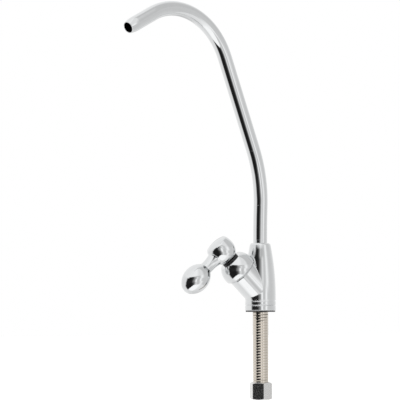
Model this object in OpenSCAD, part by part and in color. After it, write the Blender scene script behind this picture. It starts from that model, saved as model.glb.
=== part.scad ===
// Drinking water filter tap: swivel spout, quarter-turn lever valve, threaded shank.
// Millimetres. Origin: centre of the base seal's underside, on the worktop. +Z is up, -Y is the front.

/* [Shank and inlet] */
// Outside diameter of the threaded shank
shank_d = 11.1; // [10:0.1:12]
// Length of shank between the worktop's top and the compression nut
shank_drop = 49.7; // [30:0.1:80]
// Compression nut across its flats
nut_flats = 14.3; // [14:0.1:17]
// Height of the compression nut
nut_h = 12.1; // [10:0.1:14]
// Turn of the nut's corners about the shank
nut_turn = -9; // [-30:1:30]
// Hole for the water tube
inlet_d = 6.6; // [6:0.1:6.8]

/* [Body] */
// Diameter of the base
base_d = 21.8; // [21.2:0.1:24]
// Thickness of the rubber seal under the base
base_seal_h = 0.9; // [0.6:0.1:1.2]
// Height of the loose ring under the body
ring_h = 3.8; // [3:0.1:5]
// Height of the tower that holds the spout
tower_h = 48.9; // [47:0.1:55]
// Height at which the tower starts to narrow
taper_z = 11.9; // [9:0.1:15]
// Diameter of the tower's top
tower_top_d = 14.3; // [14.2:0.1:17]
// Diameter of the valve branch
branch_d = 21; // [19.8:0.1:21.2]
// Lean of the valve branch from upright
valve_lean = 45; // [44:0.5:48]
// Height at which the branch's axis meets the tower's axis
valve_z = 13.2; // [12.9:0.1:13.9]

/* [Valve head] */
// Diameter of the ball-shaped bonnet
bonnet_d = 24.6; // [23.6:0.1:26]
// Distance along the valve's axis to the bonnet's lower seam
seam_w = 20.4; // [20:0.1:22]
// Distance from the seam to the bonnet's flat top
bonnet_h = 12.3; // [12:0.1:13]
// Gap between the bonnet and the handle
handle_gap = 1.5; // [1.2:0.1:2]

/* [Handle] */
// Diameter of the hub over the valve
hub_d = 19.2; // [18:0.1:20.4]
// Diameter of the hub's domed cap at its rim
cap_d = 16.8; // [15:0.1:17]
// Height of the hub's widest place over its flat underside
hub_rise = 7.7; // [7:0.1:8]
// Distance from the hub's centre to the middle of the grip
grip_reach = 28.1; // [26:0.1:31]
// Thickness of the grip
grip_d = 18.4; // [16:0.1:20]
// Length of the grip
grip_len = 23.8; // [21.5:0.1:28]
// Thickness of the neck between hub and grip
neck_d = 8.8; // [7:0.1:10]

/* [Spout] */
// Outside diameter of the spout tube
tube_d = 10; // [9.8:0.1:10.2]
// Wall of the spout tube
tube_wall = 1; // [0.8:0.1:1]
// Swing of the spout from straight ahead
spout_swing = 20.5; // [-180:0.5:180]
// Reach of the outlet from the tower's axis
spout_reach = 122.7; // [112:0.1:140]
// Height of the outlet over the worktop
outlet_z = 187.2; // [161:0.1:213]
// Lean of the tube to the rear over the tower
back_lean = 2.8; // [1:0.1:4]
// Radius of the bend to the rear
back_bend_r = 500; // [400:10:700]
// Slope of the long straight run from upright
rise_slope = 23.8; // [18:0.1:32]
// Radius of the bend into the long straight run
rise_bend_r = 90; // [60:1:120]
// Radius of the arch
arch_bend_r = 46.5; // [35:0.5:55]
// Direction of the outlet from upright
outlet_slope = 121.5; // [105:0.5:140]

/* [Hidden] */
$fn = 96;
// Steps of a long shallow curve
long_curve_fn = 8 * $fn;
full_turn = 360;
right_angle = 90;
// Overlap that lets a cut pass through a face
cut = 0.5;
// Radial clearances: a turning fit, a screwed or pushed-in fit, a free space
turn_fit = 0.06;
push_fit = 0.05;
free_gap = 0.3;
// Play between a ring and the sides of its groove
ring_play = 0.1;
// Bevel on a turned edge
edge = 0.4;

// Shank and inlet
shank_r = shank_d / 2;
inlet_r = inlet_d / 2;
// Stop for the water tube in the shank's bore, and the narrower way on to the cartridge
tube_depth = 14;
stop_w = 0.6;
water_r = inlet_r - stop_w;
way_step = 0.4;
way_r = water_r - way_step;
// Share of the nut that the shank fills, and the groove at the nut's upper face
nut_fill = 0.64;
shank_low = -shank_drop - nut_fill * nut_h;
relief_w = 0.8;
relief_depth = 0.4;
// Thinner neck of the shank inside the body, and the bevel of the ring's hole round it
neck_step = 0.5;
neck_in_body = 5.4;
neck_in_body_r = shank_r - neck_step;
ring_bevel = 0.8;
ring_mouth_r = shank_r + free_gap;
ring_top = base_seal_h + ring_h;
shank_top = ring_top + neck_in_body;
shank_seal_h = 1;
shank_seat = shank_top + shank_seal_h;
// Hexagon of the nut, its floor, its round end faces and the steepness of their bevels
hexagon_half_angle = 30;
nut_corner_r = nut_flats / 2 / cos(hexagon_half_angle);
nut_low = -shank_drop - nut_h;
nut_floor = 2;
nut_face_inset = 0.3;
nut_face_r = nut_flats / 2 - nut_face_inset;
nut_bevel = 0.55;
nut_widest_r = nut_face_r + nut_h / nut_bevel;
// Cone mouth that takes the ferrule
cone_w = 1.3;
ferrule_gap = 0.2;

// Body
base_r = base_d / 2;
branch_r = branch_d / 2;
groove_r = 0.6;
groove_depth = 0.3;
groove_pitch = 3.15;
groove_z = ring_top + groove_pitch;
// Long outward curve that is upright where the taper starts and ends at the tower's top
tower_top_r = tower_top_d / 2;
taper_in = base_r - tower_top_r;
taper_curve = (pow(tower_h - taper_z, 2) + pow(taper_in, 2)) / (2 * taper_in);

// Valve, measured along its own axis from the tower's axis
socket_r = 6.5;
socket_w = 4;
spigot_r = 8.6;
spigot_h = 5.6;
spigot_w = seam_w + spigot_h;
seal_h = 1.5;
seal_w = socket_w + seal_h;
// Ceramic discs and their ports
disc_r = 5.2;
disc_h = 2;
disc_gap = 0.05;
port_r = 1.4;
port_out = 2.8;
moving_w = seal_w + disc_h + disc_gap;
moving_top = moving_w + disc_h;
// Driver on the stem's end, with a tang in the moving disc's slot
tang_w = 2;
tang_h = 0.8;
driver_h = 1.7;
driver_r = disc_r - ring_play;
driver_w = moving_top + disc_gap;
chamber_top = driver_w + driver_h + ring_play;
chamber_r = disc_r + ring_play;
window_r = 1.3;
// Stem, cartridge and the throat of the bonnet round them
stem_r = 3;
throat_w = 1.9;
throat_r = stem_r + throat_w;
cartridge_r = socket_r - push_fit;
flange_step = 0.6;
flange_r = spigot_r - flange_step;
flange_h = 2;
flange_top = spigot_w + flange_h;
cartridge_neck_r = throat_r - free_gap;
cartridge_neck_h = 3.2;
cartridge_top = flange_top + cartridge_neck_h;
// Round seals, by their cross-sections and places
stem_ring_d = 1;
stem_ring_first = 3.4;
stem_ring_pitch = 3.6;
stem_ring_low = chamber_top + stem_ring_first;
stem_ring_high = stem_ring_low + stem_ring_pitch;
body_ring_d = 1.2;
body_ring_w = (chamber_top + spigot_w) / 2;
// Open clip over the cartridge
clip_h = 0.8;
clip_w = cartridge_top + ring_play;
clip_inset = 0.2;
clip_r = cartridge_neck_r - clip_inset;
clip_depth = 0.6;
clip_groove_r = stem_r - clip_depth;

// Bonnet and the washer on it
bonnet_r = bonnet_d / 2;
bonnet_rise = 3.7;
bonnet_centre_w = seam_w + bonnet_rise;
bonnet_top = seam_w + bonnet_h;
washer_h = handle_gap - free_gap;
washer_r = 6.2;

// Handle
hub_r = hub_d / 2;
hub_low = bonnet_top + handle_gap;
hub_w = hub_low + hub_rise;
stem_over_centre = 0.9;
stem_top = hub_w + stem_over_centre;
screw_r = 2;
screw_rise = 3.9;
screw_w = hub_low + screw_rise;
screw_len = 4.6;
screw_key_r = 1;
// The hub is half a ball below, a barrel above, and a shallow dome with a softened rim on top
cap_r = cap_d / 2;
cap_rise = 6.7;
dome_rise = 1.9;
barrel_r = (pow(cap_rise, 2) + pow(hub_r - cap_r, 2)) / (2 * (hub_r - cap_r));
dome_r = (pow(cap_r, 2) + pow(dome_rise, 2)) / (2 * dome_rise);
rim_softness = 0.2;
rim_r = sqrt(pow(cap_r, 2) + pow(cap_rise, 2)) - rim_softness;
// The neck starts inside the hub and is thinnest near its middle
neck_r = neck_d / 2;
neck_curve = 24;
neck_start = 0.62;
neck_low = neck_start * hub_r;
neck_waist = 0.53;
neck_mid = neck_waist * grip_reach;
// The grip is an oval of two end arcs and a longer side arc
grip_r = grip_d / 2;
grip_roundness = 0.76;
grip_end_r = grip_roundness * grip_r;
grip_half = grip_len / 2 - grip_end_r;
grip_side_r = (pow(grip_half, 2) + pow(grip_r, 2) - pow(grip_end_r, 2)) / (2 * (grip_r - grip_end_r));
grip_side_x = grip_r - grip_side_r;
grip_wedge = 4;

// Spout
tube_r = tube_d / 2;
tube_in_r = tube_r - tube_wall;
mouth_r = tube_r + turn_fit;
// Lap of straight runs into bends, and how much thinner a drawn bend is
lap = 0.2;
draw = 0.02;
tube_in_tower = 10;
tube_over_tower = 2;
tube_low = tower_h - tube_in_tower;
// How far the bends carry the tube forward and up
back_run = back_bend_r * (1 - cos(back_lean)) + lap * sin(back_lean);
back_rise = back_bend_r * sin(back_lean) + lap * cos(back_lean);
rise_bend_run = rise_bend_r * (cos(back_lean) - cos(rise_slope));
rise_bend_rise = rise_bend_r * (sin(back_lean) + sin(rise_slope));
arch_run = arch_bend_r * (cos(rise_slope) - cos(outlet_slope));
arch_rise = arch_bend_r * (sin(outlet_slope) - sin(rise_slope));
// What is left for the two straight runs, and their lengths
straight_run = spout_reach + back_run - rise_bend_run - arch_run;
straight_rise = outlet_z - tower_h - tube_over_tower - back_rise - rise_bend_rise - arch_rise;
arch_angle = outlet_slope - rise_slope;
rise_len = (straight_rise * sin(outlet_slope) - straight_run * cos(outlet_slope)) / sin(arch_angle);
outlet_len = (straight_run * cos(rise_slope) - straight_rise * sin(rise_slope)) / sin(arch_angle);
// Outlet drawn in to a thin lip, with a short straight mouth
nose_len = 7;
nose_in = 1;
nose_curve = (pow(nose_len, 2) + pow(nose_in, 2)) / (2 * nose_in);
lip_wall = 0.4;
lip_len = 3;
lip_in_r = tube_r - nose_in - lip_wall;
// Plug in the tube's end and the socket under it
plug_step = 0.02;
plug_r = tube_r - plug_step;
plug_h = 7.6;
plug_low = tube_low - plug_h;
plug_in_tube = 6;
plug_bore_r = 2.6;
socket_room = 0.6;
socket_floor = plug_low - socket_room;
spout_ring_d = 1.3;
spout_ring_first = 1.8;
spout_ring_pitch = 2.6;
spout_ring_low = plug_low + spout_ring_first;
spout_ring_high = spout_ring_low + spout_ring_pitch;
// Split ring half in the plug and half in the tower
split_ring_drop = 1.8;
split_ring_z = tube_low - split_ring_drop;
split_ring_h = 1;
split_ring_depth = 0.8;
split_ring_in = tube_r - split_ring_depth;
split_ring_reach = 0.5;
split_ring_out = tube_r + split_ring_reach;
split_slot = 1.5;
// Drilled way from the cartridge's socket to the spout's socket
passage_r = 2.5;
passage_y = -2;
passage_low = 20;

// Places its children along the valve's axis, with the handle's lever along -Y
module on_valve(along = 0) {
  translate([0, 0, valve_z])
    rotate([valve_lean, 0, 0])
      translate([0, 0, along])
        children();
}

// Swings its children with the spout
module on_spout() {
  rotate([0, 0, spout_swing])
    children();
}

// Flat ring from one height to another
module ring(inner, outer, low, high) {
  translate([0, 0, low])
    difference() {
      cylinder(r = outer, h = high - low);
      translate([0, 0, -cut])
        cylinder(r = inner, h = high - low + 2 * cut);
    }
}

// Round seal with its outside at a given radius
module round_ring(outer, section, height) {
  translate([0, 0, height])
    rotate_extrude()
      translate([outer - section / 2, 0])
        circle(d = section);
}

// Seal groove cut into a shaft
module seal_groove(shaft, section, height) {
  half = section / 2 + ring_play;
  ring(shaft - section - push_fit, shaft + cut, height - half, height + half);
}

// Shallow round groove turned into the base
module base_groove(height) {
  rotate_extrude()
    translate([base_r + groove_r - groove_depth, height])
      circle(r = groove_r);
}

// Outline of the base and the curved tower
module tower_outline() {
  difference() {
    union() {
      translate([0, ring_top])
        square([base_r, taper_z - ring_top]);
      intersection() {
        translate([0, taper_z])
          square([base_r + cut, tower_h - taper_z]);
        translate([base_r - taper_curve, taper_z])
          circle(r = taper_curve, $fn = long_curve_fn);
      }
    }
    polygon([
      [tower_top_r - edge, tower_h + cut],
      [tower_top_r - 2 * edge, tower_h],
      [tower_top_r + cut, tower_h - 2 * edge - cut],
      [tower_top_r + cut, tower_h + cut]
    ]);
  }
}

// Outside of the bonnet: a ball cut flat at both ends, with a bevel at the seam
module bonnet_outside(grown = 0) {
  rim_r = branch_r + edge / 2 + grown;
  intersection() {
    translate([0, 0, bonnet_centre_w])
      sphere(r = bonnet_r + grown);
    translate([0, 0, seam_w])
      cylinder(r = bonnet_r + cut, h = bonnet_h);
    translate([0, 0, seam_w])
      cylinder(r1 = rim_r, r2 = rim_r + bonnet_h, h = bonnet_h);
  }
}

// Outside of the cast body: base, tower for the spout with room for the bonnet, leaning branch, spigot
module casting_outside() {
  difference() {
    union() {
      rotate_extrude()
        tower_outline();
      on_valve()
        cylinder(r = branch_r, h = seam_w);
    }
    on_valve()
      bonnet_outside(free_gap);
    base_groove(ring_top);
    base_groove(groove_z);
  }
  on_valve()
    cylinder(r = spigot_r, h = spigot_w);
}

// Turned sockets of the shank, the cartridge and the spout
module casting_sockets() {
  translate([0, 0, ring_top - cut])
    cylinder(r = neck_in_body_r + push_fit, h = shank_seat - ring_top + cut);
  on_valve(socket_w)
    cylinder(r = socket_r, h = spigot_w - socket_w + cut);
  translate([0, 0, socket_floor])
    cylinder(r = mouth_r, h = tower_h - socket_floor + cut);
  translate([0, 0, split_ring_z - ring_play])
    cylinder(r = split_ring_out + ring_play, h = split_ring_h + 2 * ring_play);
  translate([0, 0, tower_h - edge])
    cylinder(r1 = mouth_r, r2 = mouth_r + 2 * edge, h = 2 * edge);
}

// Cast body with its sockets and its drilled waterways
module body_casting() {
  color("silver")
    difference() {
      casting_outside();
      casting_sockets();
      // Way in from the shank
      translate([0, 0, shank_seat - cut])
        cylinder(r = water_r, h = valve_z + way_r - shank_seat);
      on_valve()
        cylinder(r = way_r, h = socket_w + cut);
      // Way out to the spout
      translate([0, passage_y, passage_low])
        cylinder(r = passage_r, h = socket_floor - passage_low + cut);
    }
}

// Loose ring between the body and the seal under it
module base_ring() {
  color("silver")
    translate([0, 0, base_seal_h])
      difference() {
        cylinder(r = base_r, h = ring_h);
        translate([0, 0, -cut])
          cylinder(r = neck_in_body_r + push_fit, h = ring_h + 2 * cut);
        translate([0, 0, -cut])
          cylinder(r1 = ring_mouth_r + cut, r2 = ring_mouth_r - ring_bevel, h = ring_bevel + cut);
        base_groove(ring_h);
        rotate_extrude()
          polygon([
            [base_r - edge, 0],
            [base_r + cut, edge + cut],
            [base_r + cut, -cut],
            [base_r - edge, -cut]
          ]);
      }
}

// Rubber seal that the tap stands on
module base_seal() {
  color("black")
    ring(ring_mouth_r, base_r - edge, 0, base_seal_h);
}

// Hollow shank through the worktop: neck in the body, long thread, relief groove, short thread
// in the nut, with a stop and a cone mouth for the water tube
module shank() {
  color("tan")
    difference() {
      union() {
        translate([0, 0, shank_low])
          cylinder(r = shank_r, h = -shank_low);
        translate([0, 0, shank_low])
          cylinder(r = neck_in_body_r, h = shank_top - shank_low);
      }
      ring(shank_r - relief_depth, shank_r + cut, -shank_drop - relief_w, -shank_drop);
      translate([0, 0, shank_low - cut])
        cylinder(r = water_r, h = shank_top - shank_low + 2 * cut);
      translate([0, 0, shank_low - cut])
        cylinder(r = inlet_r, h = tube_depth + cut);
      translate([0, 0, shank_low - cut])
        cylinder(r1 = inlet_r + cone_w + cut, r2 = inlet_r, h = cone_w + cut);
    }
}

// Rubber seal between the shank's end and the body
module shank_seal() {
  color("black")
    ring(water_r, neck_in_body_r, shank_top, shank_seat);
}

// Ball-shaped bonnet that screws over the branch and clamps the cartridge
module bonnet() {
  color("silver")
    on_valve()
      difference() {
        bonnet_outside();
        translate([0, 0, seam_w - cut])
          cylinder(r = spigot_r + push_fit, h = spigot_h + cut);
        translate([0, 0, spigot_w - cut])
          cylinder(r = flange_r + push_fit, h = flange_h + cut);
        cylinder(r = throat_r, h = bonnet_top + cut);
      }
}

// Brass cartridge: disc chamber with side windows, stem bore, clamped flange
module cartridge_body() {
  color("gold")
    on_valve()
      difference() {
        union() {
          translate([0, 0, seal_w])
            cylinder(r = cartridge_r, h = spigot_w - seal_w);
          translate([0, 0, spigot_w])
            cylinder(r = flange_r, h = flange_h);
          translate([0, 0, flange_top])
            cylinder(r = cartridge_neck_r, h = cartridge_top - flange_top);
        }
        translate([0, 0, seal_w - cut])
          cylinder(r = chamber_r, h = chamber_top - seal_w + cut);
        cylinder(r = stem_r + turn_fit, h = cartridge_top + cut);
        translate([0, 0, moving_top])
          rotate([right_angle, 0, 0])
            cylinder(r = window_r, h = 3 * cartridge_r, center = true);
        seal_groove(cartridge_r, body_ring_d, body_ring_w);
      }
}

// Seal round the cartridge
module cartridge_o_ring() {
  color("black")
    on_valve()
      round_ring(cartridge_r, body_ring_d, body_ring_w);
}

// Rubber seat between the body and the discs
module seat_seal() {
  color("black")
    on_valve()
      ring(port_out + port_r + ring_play, cartridge_r, socket_w, seal_w);
}

// Ceramic disc with two ports, starting at the given place along the axis
module ported_disc(low, turn) {
  on_valve(low)
    rotate([0, 0, turn])
      difference() {
        cylinder(r = disc_r, h = disc_h);
        for (side = [-1, 1])
          translate([side * port_out, 0, -cut])
            cylinder(r = port_r, h = disc_h + 2 * cut);
        children();
      }
}

// Ceramic disc that stays in the cartridge
module fixed_disc() {
  color("white")
    ported_disc(seal_w, 0);
}

// Ceramic disc that turns with the stem, its ports crossed with the other disc's while shut
module moving_disc() {
  color("white")
    ported_disc(moving_w, right_angle)
      translate([-tang_w / 2 - push_fit, -disc_r - cut, disc_h - tang_h])
        cube([tang_w + 2 * push_fit, 2 * (disc_r + cut), tang_h + cut]);
}

// Black washer on the bonnet under the handle
module slip_washer() {
  color("black")
    on_valve()
      ring(stem_r + free_gap, washer_r, bonnet_top, bonnet_top + washer_h);
}

// Valve stem: tang and driver under, seal grooves, clip groove, end in the handle
module valve_stem() {
  color("gold")
    on_valve()
      difference() {
        union() {
          intersection() {
            translate([0, 0, driver_w - tang_h])
              cylinder(r = driver_r, h = driver_h);
            translate([-disc_r, -tang_w / 2, driver_w - tang_h])
              cube([2 * disc_r, tang_w, driver_h]);
          }
          translate([0, 0, driver_w])
            cylinder(r = driver_r, h = driver_h);
          translate([0, 0, driver_w])
            cylinder(r = stem_r, h = stem_top - driver_w);
        }
        for (height = [stem_ring_low, stem_ring_high])
          seal_groove(stem_r, stem_ring_d, height);
        ring(clip_groove_r, stem_r + cut, clip_w, clip_w + clip_h);
      }
}

// Lower seal on the stem
module stem_o_ring_lower() {
  color("black")
    on_valve()
      round_ring(stem_r, stem_ring_d, stem_ring_low);
}

// Upper seal on the stem
module stem_o_ring_upper() {
  color("black")
    on_valve()
      round_ring(stem_r, stem_ring_d, stem_ring_high);
}

// Open clip that keeps the stem in the cartridge
module stem_clip() {
  color("gray")
    on_valve()
      difference() {
        ring(clip_groove_r, clip_r, clip_w, clip_w + clip_h);
        translate([-clip_groove_r, 0, clip_w - cut])
          cube([2 * clip_groove_r, clip_r + cut, clip_h + 2 * cut]);
      }
}

// Half outline of the oval grip, centred on the origin
module grip_outline() {
  intersection() {
    translate([0, -grip_len])
      square([grip_len, 2 * grip_len]);
    union() {
      for (side = [-1, 1])
        translate([0, side * grip_half])
          circle(r = grip_end_r);
      intersection() {
        translate([grip_side_x, 0])
          circle(r = grip_side_r);
        polygon([
          [0, -grip_half],
          [-grip_wedge * grip_side_x, -(grip_wedge + 1) * grip_half],
          [-grip_wedge * grip_side_x, (grip_wedge + 1) * grip_half],
          [0, grip_half]
        ]);
      }
    }
  }
}

// Half outline of the hub, centred on its widest place
module hub_outline() {
  intersection() {
    translate([0, -hub_rise])
      square([hub_r, hub_rise]);
    circle(r = hub_r);
  }
  intersection() {
    square([hub_r, hub_r]);
    translate([hub_r - barrel_r, 0])
      circle(r = barrel_r);
    translate([0, cap_rise + dome_rise - dome_r])
      circle(r = dome_r);
    circle(r = rim_r);
  }
}

// Half outline of the waisted neck, measured from the hub's centre
module neck_outline() {
  difference() {
    translate([0, neck_low])
      square([hub_r, grip_reach - grip_half - neck_low]);
    translate([neck_r + neck_curve, neck_mid])
      circle(r = neck_curve);
  }
}

// Handle: hub over the valve, waisted neck and oval grip in one casting
module handle_lever() {
  color("silver")
    on_valve(hub_w)
      difference() {
        union() {
          rotate_extrude()
            hub_outline();
          rotate([right_angle, 0, 0])
            rotate_extrude() {
              neck_outline();
              translate([0, grip_reach])
                grip_outline();
            }
        }
        translate([0, 0, -hub_rise - cut])
          cylinder(r = stem_r + push_fit, h = stem_top - hub_low + push_fit + cut);
        translate([0, 0, screw_w - hub_w])
          rotate([-right_angle, 0, 0])
            cylinder(r = screw_r + push_fit, h = hub_r + cut);
      }
}

// Grub screw in the back of the hub, with a hexagon socket
module handle_screw() {
  color("gray")
    on_valve(screw_w)
      rotate([-right_angle, 0, 0])
        translate([0, 0, stem_r + push_fit])
          difference() {
            cylinder(r = screw_r, h = screw_len);
            translate([0, 0, screw_len / 2])
              cylinder(r = screw_key_r, h = screw_len, $fn = 6);
          }
}

// Straight rod that laps into the bends next to it, with its children at the far end
module straight(radius, length, first = 0) {
  translate([0, 0, first - lap])
    cylinder(r = radius, h = length + 2 * lap - first);
  translate([0, 0, length])
    children();
}

// Rod bent towards -Y, or towards +Y for a side of -1, with its children at the far end
module bend(radius, curve, angle, side = 1) {
  rotate([0, 0, side < 0 ? full_turn / 2 : 0])
    translate([0, -curve, 0])
      rotate([right_angle, 0, right_angle])
        rotate_extrude(angle = angle)
          translate([curve, 0])
            circle(r = radius - draw);
  translate([0, side * curve * (cos(angle) - 1), curve * sin(angle)])
    rotate([side * angle, 0, 0])
      children();
}

// Run of the spout from its lower end to the start of its straight outlet
module spout_run(radius) {
  straight(radius, tube_in_tower + tube_over_tower, lap)
    bend(radius, back_bend_r, back_lean, -1)
      straight(radius, lap)
        bend(radius, rise_bend_r, back_lean + rise_slope)
          straight(radius, rise_len)
            bend(radius, arch_bend_r, arch_angle)
              children();
}

// Straight outlet with its drawn-in end
module outlet_outside() {
  rotate_extrude()
    intersection() {
      translate([0, -lap])
        square([tube_r, outlet_len + lap]);
      union() {
        translate([0, -lap])
          square([tube_r, outlet_len - nose_len + lap]);
        translate([tube_r - nose_curve, outlet_len - nose_len])
          circle(r = nose_curve, $fn = long_curve_fn);
      }
    }
}

// Bore of the outlet, narrowing to the mouth
module outlet_bore() {
  rotate_extrude()
    polygon([
      [0, -lap],
      [tube_in_r, -lap],
      [tube_in_r, outlet_len - nose_len],
      [lip_in_r, outlet_len - lip_len],
      [lip_in_r, outlet_len + cut],
      [0, outlet_len + cut]
    ]);
}

// Bent spout tube from the tower's socket to the outlet
module spout_tube() {
  color("silver")
    on_spout()
      translate([0, 0, tube_low])
        difference() {
          spout_run(tube_r)
            outlet_outside();
          translate([0, 0, -cut])
            cylinder(r = tube_in_r, h = 2 * cut);
          spout_run(tube_in_r)
            outlet_bore();
        }
}

// Brass plug in the tube's lower end, grooved for its seals and its ring
module spout_plug() {
  color("gold")
    difference() {
      union() {
        translate([0, 0, plug_low])
          cylinder(r = plug_r, h = tube_low - plug_low);
        translate([0, 0, tube_low])
          cylinder(r = tube_in_r - push_fit, h = plug_in_tube);
      }
      translate([0, 0, plug_low - cut])
        cylinder(r = plug_bore_r, h = tube_low + plug_in_tube - plug_low + 2 * cut);
      for (height = [spout_ring_low, spout_ring_high])
        seal_groove(plug_r, spout_ring_d, height);
      ring(split_ring_in, plug_r + cut, split_ring_z, split_ring_z + split_ring_h);
    }
}

// Lower seal of the spout
module spout_o_ring_lower() {
  color("black")
    round_ring(plug_r, spout_ring_d, spout_ring_low);
}

// Upper seal of the spout
module spout_o_ring_upper() {
  color("black")
    round_ring(plug_r, spout_ring_d, spout_ring_high);
}

// Split ring that keeps the spout in the tower and lets it turn
module spout_split_ring() {
  color("white")
    on_spout()
      difference() {
        ring(split_ring_in, split_ring_out, split_ring_z, split_ring_z + split_ring_h);
        translate([-split_slot / 2, 0, split_ring_z - cut])
          cube([split_slot, split_ring_out + cut, split_ring_h + 2 * cut]);
      }
}

// Hexagon compression nut on the shank's end
module compression_nut() {
  color("silver")
    rotate([0, 0, nut_turn])
      difference() {
        intersection() {
          translate([0, 0, nut_low])
            cylinder(r = nut_corner_r, h = nut_h, $fn = 6);
          translate([0, 0, nut_low])
            cylinder(r1 = nut_face_r, r2 = nut_widest_r, h = nut_h);
          translate([0, 0, nut_low])
            cylinder(r1 = nut_widest_r, r2 = nut_face_r, h = nut_h);
        }
        translate([0, 0, nut_low + nut_floor])
          cylinder(r = shank_r + turn_fit, h = nut_h);
        translate([0, 0, nut_low - cut])
          cylinder(r = inlet_r, h = nut_floor + 2 * cut);
      }
}

// Ferrule that the nut presses into the shank's cone and onto the water tube
module ferrule() {
  color("gold")
    rotate_extrude()
      polygon([
        [inlet_r, nut_low + nut_floor],
        [inlet_r + cone_w, nut_low + nut_floor],
        [inlet_r + cone_w, shank_low - ferrule_gap],
        [inlet_r + ferrule_gap, shank_low + cone_w - 2 * ferrule_gap],
        [inlet_r, shank_low + cone_w - 2 * ferrule_gap]
      ]);
}

body_casting();
base_ring();
base_seal();
shank();
shank_seal();
bonnet();
cartridge_body();
cartridge_o_ring();
seat_seal();
fixed_disc();
slip_washer();
handle_lever();
handle_screw();
valve_stem();
stem_o_ring_lower();
stem_o_ring_upper();
stem_clip();
moving_disc();
spout_tube();
spout_plug();
spout_o_ring_lower();
spout_o_ring_upper();
spout_split_ring();
compression_nut();
ferrule();
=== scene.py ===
from math import cos, pi, radians, sin

import bmesh
import bpy
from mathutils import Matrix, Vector


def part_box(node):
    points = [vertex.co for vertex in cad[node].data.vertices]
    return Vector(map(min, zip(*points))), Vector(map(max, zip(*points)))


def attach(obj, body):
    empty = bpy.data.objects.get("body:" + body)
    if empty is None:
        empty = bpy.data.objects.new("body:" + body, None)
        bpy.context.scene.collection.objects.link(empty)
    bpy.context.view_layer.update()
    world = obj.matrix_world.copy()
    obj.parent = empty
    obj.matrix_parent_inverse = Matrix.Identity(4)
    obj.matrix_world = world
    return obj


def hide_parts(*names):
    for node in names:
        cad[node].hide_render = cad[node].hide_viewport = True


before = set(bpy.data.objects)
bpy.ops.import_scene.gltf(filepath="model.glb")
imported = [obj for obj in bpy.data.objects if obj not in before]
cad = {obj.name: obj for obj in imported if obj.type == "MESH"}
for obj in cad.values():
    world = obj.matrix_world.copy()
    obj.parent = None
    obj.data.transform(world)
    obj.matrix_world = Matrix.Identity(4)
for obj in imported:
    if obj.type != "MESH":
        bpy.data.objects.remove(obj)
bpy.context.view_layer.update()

# Body casting, loose base ring and ball-shaped bonnet.
# Cast brass, turned, polished on a wheel and plated with bright chrome; the ring lies under
# the casting and the bonnet screws over the end of the leaning branch.


def new_finish(name):
    """Empty finish: the material, its node tree, its shader and the piece's own coordinates."""
    finish = bpy.data.materials.new(name)
    finish.use_nodes = True
    tree = finish.node_tree
    place = tree.nodes.new("ShaderNodeTexCoord")
    return finish, tree, tree.nodes["Principled BSDF"], place.outputs["Object"]


def grain(tree, place, scale, detail):
    """Cloudy pattern of the given fineness."""
    noise = tree.nodes.new("ShaderNodeTexNoise")
    noise.inputs["Scale"].default_value = scale
    noise.inputs["Detail"].default_value = detail
    tree.links.new(place, noise.inputs["Vector"])
    return noise.outputs["Fac"]


def spread(tree, value, low, high, start=0.3, stop=0.7):
    """Stretches a pattern between two values."""
    span = tree.nodes.new("ShaderNodeMapRange")
    span.inputs["From Min"].default_value = start
    span.inputs["From Max"].default_value = stop
    span.inputs["To Min"].default_value = low
    span.inputs["To Max"].default_value = high
    tree.links.new(value, span.inputs["Value"])
    return span.outputs["Result"]


def tint(tree, value, pale, deep):
    """Blends two colours by a pattern."""
    blend = tree.nodes.new("ShaderNodeMix")
    blend.data_type = "RGBA"
    blend.inputs["A"].default_value = (*pale, 1.0)
    blend.inputs["B"].default_value = (*deep, 1.0)
    tree.links.new(value, blend.inputs["Factor"])
    return blend.outputs["Result"]


def relief(tree, height, depth, base=None):
    """Fine relief of the given depth, on top of another if one is given."""
    bump = tree.nodes.new("ShaderNodeBump")
    bump.inputs["Strength"].default_value = 1.0
    bump.inputs["Distance"].default_value = depth
    tree.links.new(height, bump.inputs["Height"])
    if base:
        tree.links.new(base, bump.inputs["Normal"])
    return bump.outputs["Normal"]


def chrome_plate(name, pale, roundness, wave, dullest=0.075, fineness=420.0):
    """Bright chrome: waves left by the polishing wheel, a thin haze of wear, softly rounded edges."""
    shiniest = 0.02
    wear = 0.93
    wave_scale = 110.0
    finish, tree, shader, place = new_finish(name)
    shader.inputs["Metallic"].default_value = 1.0
    haze = grain(tree, place, fineness, detail=6.0)
    tree.links.new(spread(tree, haze, shiniest, dullest), shader.inputs["Roughness"])
    worn = tuple(wear * part for part in pale)
    tree.links.new(tint(tree, haze, pale, worn), shader.inputs["Base Color"])
    edges = tree.nodes.new("ShaderNodeBevel")
    edges.samples = 8
    edges.inputs["Radius"].default_value = roundness
    waves = grain(tree, place, wave_scale, detail=1.0)
    tree.links.new(relief(tree, waves, wave, edges.outputs["Normal"]), shader.inputs["Normal"])
    return finish


def finish_nodes(finish, *names):
    """Puts a finish on carried-over nodes."""
    for name in names:
        cad[name].data.materials.clear()
        cad[name].data.materials.append(finish)


chrome_colour = (0.68, 0.69, 0.695)
cast_chrome = chrome_plate("cast_chrome", chrome_colour, roundness=0.0010, wave=0.00004)
ring_chrome = chrome_plate("ring_chrome", chrome_colour, roundness=0.0004, wave=0.00003)
finish_nodes(cast_chrome, "body_casting")
finish_nodes(ring_chrome, "base_ring", "bonnet")

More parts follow.
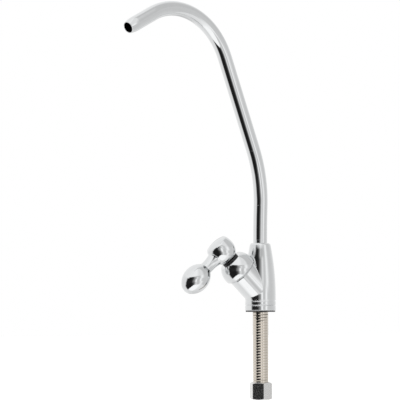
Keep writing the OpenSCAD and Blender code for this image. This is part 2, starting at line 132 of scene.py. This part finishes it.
# Threaded shank through the worktop.
# Hollow brass rod with a rolled right-hand thread and a thin, slightly warm nickel plate; its
# neck screws into the casting, a relief groove ends the long thread, the rest takes the nut.
thread_pitch = 0.00193
thread_depth = 0.00020
thread_land = 0.60
turn_steps = 48
round_steps = 96
crest_r = 0.00555
root_r = crest_r - thread_depth
core_r = root_r - thread_depth / 2
sleeve_r = root_r - thread_depth
neck_r = 0.00505
tube_hole_r = 0.0033
tube_hole_depth = 0.014
water_hole_r = 0.0027
hole_mouth = 0.0013
groove_width = 0.0008
crease = radians(20.0)
# Nickel colour of the thread's lands, and a darker colour painted into its grooves as painted shade.
land_colour = (0.61, 0.565, 0.505)
groove_shade_colour = (0.45, 0.40, 0.335)
shank_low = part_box("shank")[0].z
shank_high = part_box("shank")[1].z
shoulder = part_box("base_seal")[0].z
tube_stop = shank_low + tube_hole_depth
long_thread_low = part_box("compression_nut")[1].z
short_thread_high = long_thread_low - groove_width


def thread_turns(low, high):
    """Thread with broad lands and shallow grooves, cut square at both ends, as a closed sleeve."""
    # The line starts almost two turns early, so that the cuts miss its corners.
    lead_in = 1.99
    spare_turns = 4
    weld = 0.000002
    on_cut = 0.000001
    mesh = bmesh.new()
    land = thread_pitch * thread_land
    line = []
    for turn in range(int((high - low) / thread_pitch) + spare_turns):
        foot = low + (turn - lead_in) * thread_pitch
        line.append(mesh.verts.new((crest_r, 0.0, foot)))
        line.append(mesh.verts.new((crest_r, 0.0, foot + land)))
        line.append(mesh.verts.new((root_r, 0.0, foot + (thread_pitch + land) / 2)))
    rim = [mesh.edges.new(pair) for pair in zip(line, line[1:])]
    climb = (0.0, 0.0, thread_pitch / turn_steps)
    bmesh.ops.spin(
        mesh, geom=line + rim, cent=(0, 0, 0), axis=(0, 0, 1), angle=2 * pi, steps=turn_steps, dvec=climb
    )
    bmesh.ops.remove_doubles(mesh, verts=mesh.verts, dist=weld)
    inner = []
    for height, way in ((high, 1.0), (low, -1.0)):
        everything = mesh.verts[:] + mesh.edges[:] + mesh.faces[:]
        bmesh.ops.bisect_plane(
            mesh, geom=everything, plane_co=(0, 0, height), plane_no=(0, 0, way), clear_outer=True
        )
        end = [
            edge for edge in mesh.edges
            if edge.is_boundary and all(abs(vert.co.z - height) < on_cut for vert in edge.verts)
        ]
        grown = bmesh.ops.extrude_edge_only(mesh, edges=end)["geom"]
        for vert in grown:
            if isinstance(vert, bmesh.types.BMVert):
                vert.co.xy = vert.co.xy.normalized() * sleeve_r
        inner += [edge for edge in grown if isinstance(edge, bmesh.types.BMEdge)]
    bmesh.ops.bridge_loops(mesh, edges=[edge for edge in inner if edge.is_boundary])
    return mesh


def add_turned(mesh, outline):
    """Adds a closed outline of radius and height, spun about the upright axis."""
    corners = [mesh.verts.new((r, 0.0, z)) for r, z in outline]
    rim = [mesh.edges.new(pair) for pair in zip(corners, corners[1:] + corners[:1])]
    bmesh.ops.spin(
        mesh, geom=corners + rim, cent=(0, 0, 0), axis=(0, 0, 1), angle=2 * pi, steps=round_steps,
        use_merge=True,
    )


def put_in_scene(mesh, name, finish):
    """Makes a finished mesh an object of the scene."""
    piece = bpy.data.objects.new(name, bpy.data.meshes.new(name))
    mesh.to_mesh(piece.data)
    mesh.free()
    piece.data.materials.append(finish)
    bpy.context.scene.collection.objects.link(piece)
    return piece


nickel_plate, tree, shader, place = new_finish("nickel_plate")
shader.inputs["Metallic"].default_value = 1.0
flat_place = tree.nodes.new("ShaderNodeVectorMath")
flat_place.operation = "MULTIPLY"
flat_place.inputs[1].default_value = (1.0, 1.0, 0.0)
tree.links.new(place, flat_place.inputs[0])
reach = tree.nodes.new("ShaderNodeVectorMath")
reach.operation = "LENGTH"
tree.links.new(flat_place.outputs["Vector"], reach.inputs[0])
# Painted shade: the colour darkens from the crests down to the roots of the thread, by distance from the
# axis.
painted_groove_shade = spread(tree, reach.outputs["Value"], 1.0, 0.0, start=root_r, stop=crest_r)
tree.links.new(tint(tree, painted_groove_shade, land_colour, groove_shade_colour), shader.inputs["Base Color"])
smears = grain(tree, place, scale=700.0, detail=5.0)
tree.links.new(spread(tree, smears, low=0.08, high=0.18), shader.inputs["Roughness"])
tree.links.new(relief(tree, smears, depth=0.000006), shader.inputs["Normal"])

mesh = thread_turns(long_thread_low, shoulder)
short_thread = bpy.data.meshes.new("short_thread")
lower_end = thread_turns(shank_low, short_thread_high)
lower_end.to_mesh(short_thread)
lower_end.free()
mesh.from_mesh(short_thread)
bpy.data.meshes.remove(short_thread)
add_turned(mesh, [
    (water_hole_r, shank_high), (neck_r, shank_high), (neck_r, shoulder), (core_r, shoulder),
    (core_r, shank_low), (tube_hole_r + hole_mouth, shank_low), (tube_hole_r, shank_low + hole_mouth),
    (tube_hole_r, tube_stop), (water_hole_r, tube_stop),
])
bmesh.ops.recalc_face_normals(mesh, faces=mesh.faces)
threaded_shank = put_in_scene(mesh, "threaded_shank", nickel_plate)
threaded_shank.data.shade_smooth()
threaded_shank.data.set_sharp_from_angle(angle=crease)
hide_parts("shank")
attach(threaded_shank, "tap_body")

# Compression nut and its ferrule on the shank's end.
# The nut is turned from hexagon bar, bevelled at both ends and nickel plated; the ferrule is a
# plain brass sleeve that it squeezes onto the water tube.
bar_colour = (0.70, 0.695, 0.685)
bar_plate = chrome_plate(
    "bar_plate", bar_colour, roundness=0.0006, wave=0.00002, dullest=0.40, fineness=2000.0
)
finish_nodes(bar_plate, "compression_nut")

bright_brass = (0.76, 0.60, 0.30)
dull_brass = (0.58, 0.42, 0.18)
turned_brass, tree, shader, place = new_finish("turned_brass")
shader.inputs["Metallic"].default_value = 1.0
tarnish = grain(tree, place, scale=260.0, detail=4.0)
tree.links.new(tint(tree, tarnish, bright_brass, dull_brass), shader.inputs["Base Color"])
tree.links.new(spread(tree, tarnish, low=0.22, high=0.4), shader.inputs["Roughness"])
tool_marks = grain(tree, place, scale=2400.0, detail=2.0)
tree.links.new(relief(tree, tool_marks, depth=0.000006), shader.inputs["Normal"])
finish_nodes(turned_brass, "ferrule")

# Rubber seals: the flat one that the tap stands on, the shank's, the valve's and the spout's.
# Moulded black rubber with a faint grey bloom; only the flat one's edge shows, under the base.


def mottled(name, pale, deep, scale, dullness, detail=4.0, pits=0.0, metal=0.0):
    """Finish that one cloudy pattern varies in colour and dullness, and pits where a depth is given."""
    finish, tree, shader, place = new_finish(name)
    shader.inputs["Metallic"].default_value = metal
    clouds = grain(tree, place, scale, detail)
    tree.links.new(tint(tree, clouds, pale, deep), shader.inputs["Base Color"])
    tree.links.new(spread(tree, clouds, *dullness), shader.inputs["Roughness"])
    if pits:
        tree.links.new(relief(tree, clouds, pits), shader.inputs["Normal"])
    return finish


seal_rubber = mottled(
    "seal_rubber", pale=(0.018, 0.018, 0.019), deep=(0.045, 0.045, 0.047), scale=900.0,
    dullness=(0.5, 0.75), detail=5.0, pits=0.00001,
)
finish_nodes(
    seal_rubber, "base_seal", "shank_seal", "cartridge_o_ring", "seat_seal", "stem_o_ring_lower",
    "stem_o_ring_upper", "spout_o_ring_lower", "spout_o_ring_upper",
)

# Works of the quarter-turn valve inside the branch and the bonnet.
# Brass cartridge and stem, a pair of lapped ceramic discs and a sprung steel clip; the black
# plastic washer under the handle is the only one in sight. The handle's steel screw is here too.
finish_nodes(turned_brass, "cartridge_body", "valve_stem")

lapped_ceramic = mottled(
    "lapped_ceramic", pale=(0.90, 0.89, 0.86), deep=(0.80, 0.79, 0.75), scale=500.0,
    dullness=(0.12, 0.24), detail=5.0,
)
finish_nodes(lapped_ceramic, "fixed_disc", "moving_disc")

black_plastic = mottled(
    "black_plastic", pale=(0.008, 0.008, 0.009), deep=(0.025, 0.025, 0.027), scale=1200.0,
    dullness=(0.38, 0.6), pits=0.000012,
)
finish_nodes(black_plastic, "slip_washer")

spring_steel = mottled(
    "spring_steel", pale=(0.45, 0.45, 0.46), deep=(0.25, 0.24, 0.24), scale=800.0,
    dullness=(0.25, 0.42), pits=0.000005, metal=1.0,
)
finish_nodes(spring_steel, "stem_clip", "handle_screw")

# Handle: hub with a domed cap over the valve, waisted neck and oval grip.
# One zinc die casting, polished all over and chrome plated like the body, held on the stem by
# a grub screw in the back of the hub.
handle_chrome = chrome_plate("handle_chrome", chrome_colour, roundness=0.0009, wave=0.00004)
finish_nodes(handle_chrome, "handle_lever")

# Spout: bent chrome tube with the plug and the split ring that hold it in the tower.
# Drawn tube bent on a former and plated after bending; the plug is turned from brass and the
# ring is moulded in white plastic.
tube_chrome = chrome_plate("tube_chrome", chrome_colour, roundness=0.0003, wave=0.00002)
finish_nodes(tube_chrome, "spout_tube")
finish_nodes(turned_brass, "spout_plug")

white_plastic = mottled(
    "white_plastic", pale=(0.86, 0.86, 0.83), deep=(0.78, 0.78, 0.74), scale=600.0,
    dullness=(0.35, 0.55),
)
finish_nodes(white_plastic, "spout_split_ring")

# Studio: pale paper floor, low enough for the unscrewed nut, and white surroundings.
# The camera and the plating see the surroundings brighter than they light the rest of the tap;
# the floor glows a little for the camera alone, and keeps the tap's shadow.
wall_light = 0.6
wall_mirrored = 0.88
wall_seen = 1.0
floor_glow = 0.62
nut_travel = 0.04
floor_gap = 0.0005
floor_half = 4.0
floor_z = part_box("compression_nut")[0].z - nut_travel - floor_gap


def choose(tree, flag, other, seen):
    """Brightness that is one value for the flagged rays and another for the rest."""
    rays = tree.nodes.new("ShaderNodeLightPath")
    pick = tree.nodes.new("ShaderNodeMix")
    pick.data_type = "FLOAT"
    pick.inputs["B"].default_value = seen
    tree.links.new(rays.outputs[flag], pick.inputs["Factor"])
    if isinstance(other, float):
        pick.inputs["A"].default_value = other
    else:
        tree.links.new(other, pick.inputs["A"])
    return pick.outputs["Result"]


studio = bpy.data.worlds.new("studio")
bpy.context.scene.world = studio
studio.use_nodes = True
tree = studio.node_tree
wall = choose(tree, "Is Transmission Ray", wall_light, wall_mirrored)
wall = choose(tree, "Is Glossy Ray", wall, wall_mirrored)
wall = choose(tree, "Is Camera Ray", wall, wall_seen)
tree.nodes["Background"].inputs["Color"].default_value = (1.0, 1.0, 1.0, 1.0)
tree.links.new(wall, tree.nodes["Background"].inputs["Strength"])

paper, tree, shader, _ = new_finish("white_paper")
shader.inputs["Base Color"].default_value = (0.8, 0.8, 0.8, 1.0)
shader.inputs["Roughness"].default_value = 0.9
shader.inputs["Emission Color"].default_value = (1.0, 1.0, 1.0, 1.0)
tree.links.new(choose(tree, "Is Camera Ray", 0.0, floor_glow), shader.inputs["Emission Strength"])

mesh = bmesh.new()
corner_signs = ((1, -1), (1, 1), (-1, 1), (-1, -1))
mesh.faces.new([mesh.verts.new((x * floor_half, y * floor_half, floor_z)) for x, y in corner_signs])
floor = put_in_scene(mesh, "floor", paper)
floor.visible_glossy = False

# Light tent round the tap, seen only in the plating.
# White cloth with a tall, leaning dark opening for the photographer left of the camera, a soft
# edge to its right, then grey cloth with two bright strips; white cloth lies below and hangs above.
eye_turn = radians(65.33)
tent_r = 3.0
brightest = 1.5

cloth, tree, shader, place = new_finish("tent_cloth")
shader.inputs["Base Color"].default_value = (0.0, 0.0, 0.0, 1.0)
shader.inputs["Roughness"].default_value = 1.0
shader.inputs["Specular IOR Level"].default_value = 0.0
facing = tree.nodes.new("ShaderNodeMapping")
facing.inputs["Rotation"].default_value = (0.0, 0.0, pi / 2 - eye_turn)
tree.links.new(place, facing.inputs["Vector"])
around = tree.nodes.new("ShaderNodeTexGradient")
around.gradient_type = "RADIAL"
tree.links.new(facing.outputs["Vector"], around.inputs["Vector"])
parts = tree.nodes.new("ShaderNodeSeparateXYZ")
tree.links.new(facing.outputs["Vector"], parts.inputs["Vector"])
leftward = tree.nodes.new("ShaderNodeMath")
leftward.operation = "MINIMUM"
leftward.inputs[1].default_value = 0.0
tree.links.new(parts.outputs["Y"], leftward.inputs[0])


def round_wall(*stops):
    """Brightness round the tent, from pairs of degrees right of the camera and brightness."""
    ramp = tree.nodes.new("ShaderNodeValToRGB")
    marks = ramp.color_ramp.elements
    while len(marks) < len(stops):
        marks.new(0.5)
    for mark, (degrees, brightness) in zip(marks, stops):
        mark.position = degrees / 360.0 + 0.5
        mark.color = (*[brightness / brightest] * 3, 1.0)
    tree.links.new(around.outputs["Fac"], ramp.inputs["Fac"])
    return ramp.outputs["Color"]


def hung_wall(opening, *hangings):
    """One height of the wall: the left edge of the dark opening and what hangs to the right of it."""
    return round_wall(
        (-180, 0.75), (-168, 0.8), (-160, 1.1), (opening - 14, 1.02), (opening - 8, 0.73), (opening, 0.02),
        *hangings, (90, 0.8), (120, 0.88), (150, 1.0), (160, 1.05), (170, 0.8), (180, 0.75),
    )


def meet(below, above, height, softness, slope=0.0):
    """Lays one wall above another; their soft edge, a share of the tent's radius, may slant on the left."""
    edge = tree.nodes.new("ShaderNodeMath")
    edge.operation = "MULTIPLY_ADD"
    edge.inputs[1].default_value = -slope
    tree.links.new(leftward.outputs["Value"], edge.inputs[0])
    tree.links.new(parts.outputs["Z"], edge.inputs[2])
    start, stop = tent_r * (height - softness), tent_r * (height + softness)
    blend = tree.nodes.new("ShaderNodeMix")
    blend.data_type = "RGBA"
    tree.links.new(spread(tree, edge.outputs["Value"], 0.0, 1.0, start, stop), blend.inputs["Factor"])
    tree.links.new(below, blend.inputs["A"])
    tree.links.new(above, blend.inputs["B"])
    return blend.outputs["Result"]


ground = round_wall((-180, 1.0), (-90, 1.0), (-60, 1.25), (-40, 1.4), (40, 1.4), (70, 1.1), (180, 0.9))
deep_wall = hung_wall(
    -67, (-20, 0.015), (-8, 0.05), (1, 0.2), (14, 0.95), (20, 1.0), (28, 0.76), (38, 0.82), (56, 1.3),
    (74, 0.86),
)
foot_wall = hung_wall(
    -63, (-18, 0.03), (-6, 0.3), (2, 0.45), (13, 1.5), (20, 0.86), (28, 0.74), (36, 0.86), (44, 1.38),
    (60, 0.84),
)
low_wall = hung_wall(
    -60, (-28, 0.015), (-12, 0.05), (6, 0.52), (19, 1.1), (29, 0.82), (37, 0.8), (54, 1.32), (74, 0.84)
)
high_wall = hung_wall(
    -43, (-28, 0.02), (-19, 0.045), (-9, 0.26), (0, 0.78), (9, 0.64), (38, 0.78), (47, 1.15), (60, 1.25),
    (70, 0.85),
)
roof = round_wall(
    (-180, 1.1), (-70, 1.15), (-40, 1.2), (10, 1.25), (30, 1.05), (58, 1.08), (74, 0.76), (120, 0.78),
    (150, 1.0), (180, 1.1),
)
walls = meet(low_wall, high_wall, height=0.335, softness=0.015)
walls = meet(foot_wall, walls, height=0.07, softness=0.04)
walls = meet(deep_wall, walls, height=-0.25, softness=0.05)
walls = meet(ground, walls, height=-0.58, softness=0.02, slope=0.55)
walls = meet(walls, roof, height=0.42, softness=0.025)
tree.links.new(walls, shader.inputs["Emission Color"])
shader.inputs["Emission Strength"].default_value = brightest

mesh = bmesh.new()
bmesh.ops.create_icosphere(mesh, subdivisions=4, radius=tent_r)
bmesh.ops.reverse_faces(mesh, faces=mesh.faces)
tent = put_in_scene(mesh, "light_tent", cloth)
tent.visible_camera = False
tent.visible_diffuse = False
tent.visible_transmission = False
tent.visible_shadow = False

# Soft lamps over the tap, one either side of the camera and one behind.
# Square soft boxes that point at the body; the plating doesn't show them, because the tent
# stands for them there.
lamp_size = 0.6
lamp_reach = 1.3
lamp_aim = Vector((0.0, 0.0, 0.06))
to_eye = Vector((sin(eye_turn), -cos(eye_turn), 0.0))
to_right = Vector((cos(eye_turn), sin(eye_turn), 0.0))
lamps = (("key", -40, 55, 9.0), ("fill", 70, 30, 5.0), ("back", 180, 50, 6.0))
for name, azimuth, elevation, power in lamps:
    lamp = bpy.data.objects.new(name, bpy.data.lights.new(name, "AREA"))
    lamp.data.energy = power
    lamp.data.size = lamp_size
    across = to_eye * cos(radians(azimuth)) + to_right * sin(radians(azimuth))
    away = across * cos(radians(elevation)) + Vector((0.0, 0.0, sin(radians(elevation))))
    lamp.location = away * lamp_reach + lamp_aim
    lamp.rotation_euler = (-away).to_track_quat("-Z", "Y").to_euler()
    lamp.visible_glossy = False
    bpy.context.scene.collection.objects.link(lamp)

# Camera: level with the worktop, to the right of the handle, tilted up along the spout.
# A long lens a little under a metre away; its place, aim and lens were fitted to the outline of
# the tap in the photograph.
view_turn = radians(68.089)
aim_left = 0.043136
aim_height = 0.080109
eye = Vector((0.81565, -0.37457, 0.0009))
aim = Vector((cos(view_turn), sin(view_turn), 0.0)) * -aim_left + Vector((0.0, 0.0, aim_height))
camera = bpy.data.objects.new("camera", bpy.data.cameras.new("camera"))
camera.data.sensor_width = 36.0
camera.data.lens = 112.675
camera.data.clip_start = 0.01
camera.data.clip_end = 50.0
camera.location = eye
camera.rotation_euler = (aim - eye).to_track_quat("-Z", "Y").to_euler()
bpy.context.scene.collection.objects.link(camera)
bpy.context.scene.camera = camera
bpy.context.scene.view_settings.view_transform = "Standard"
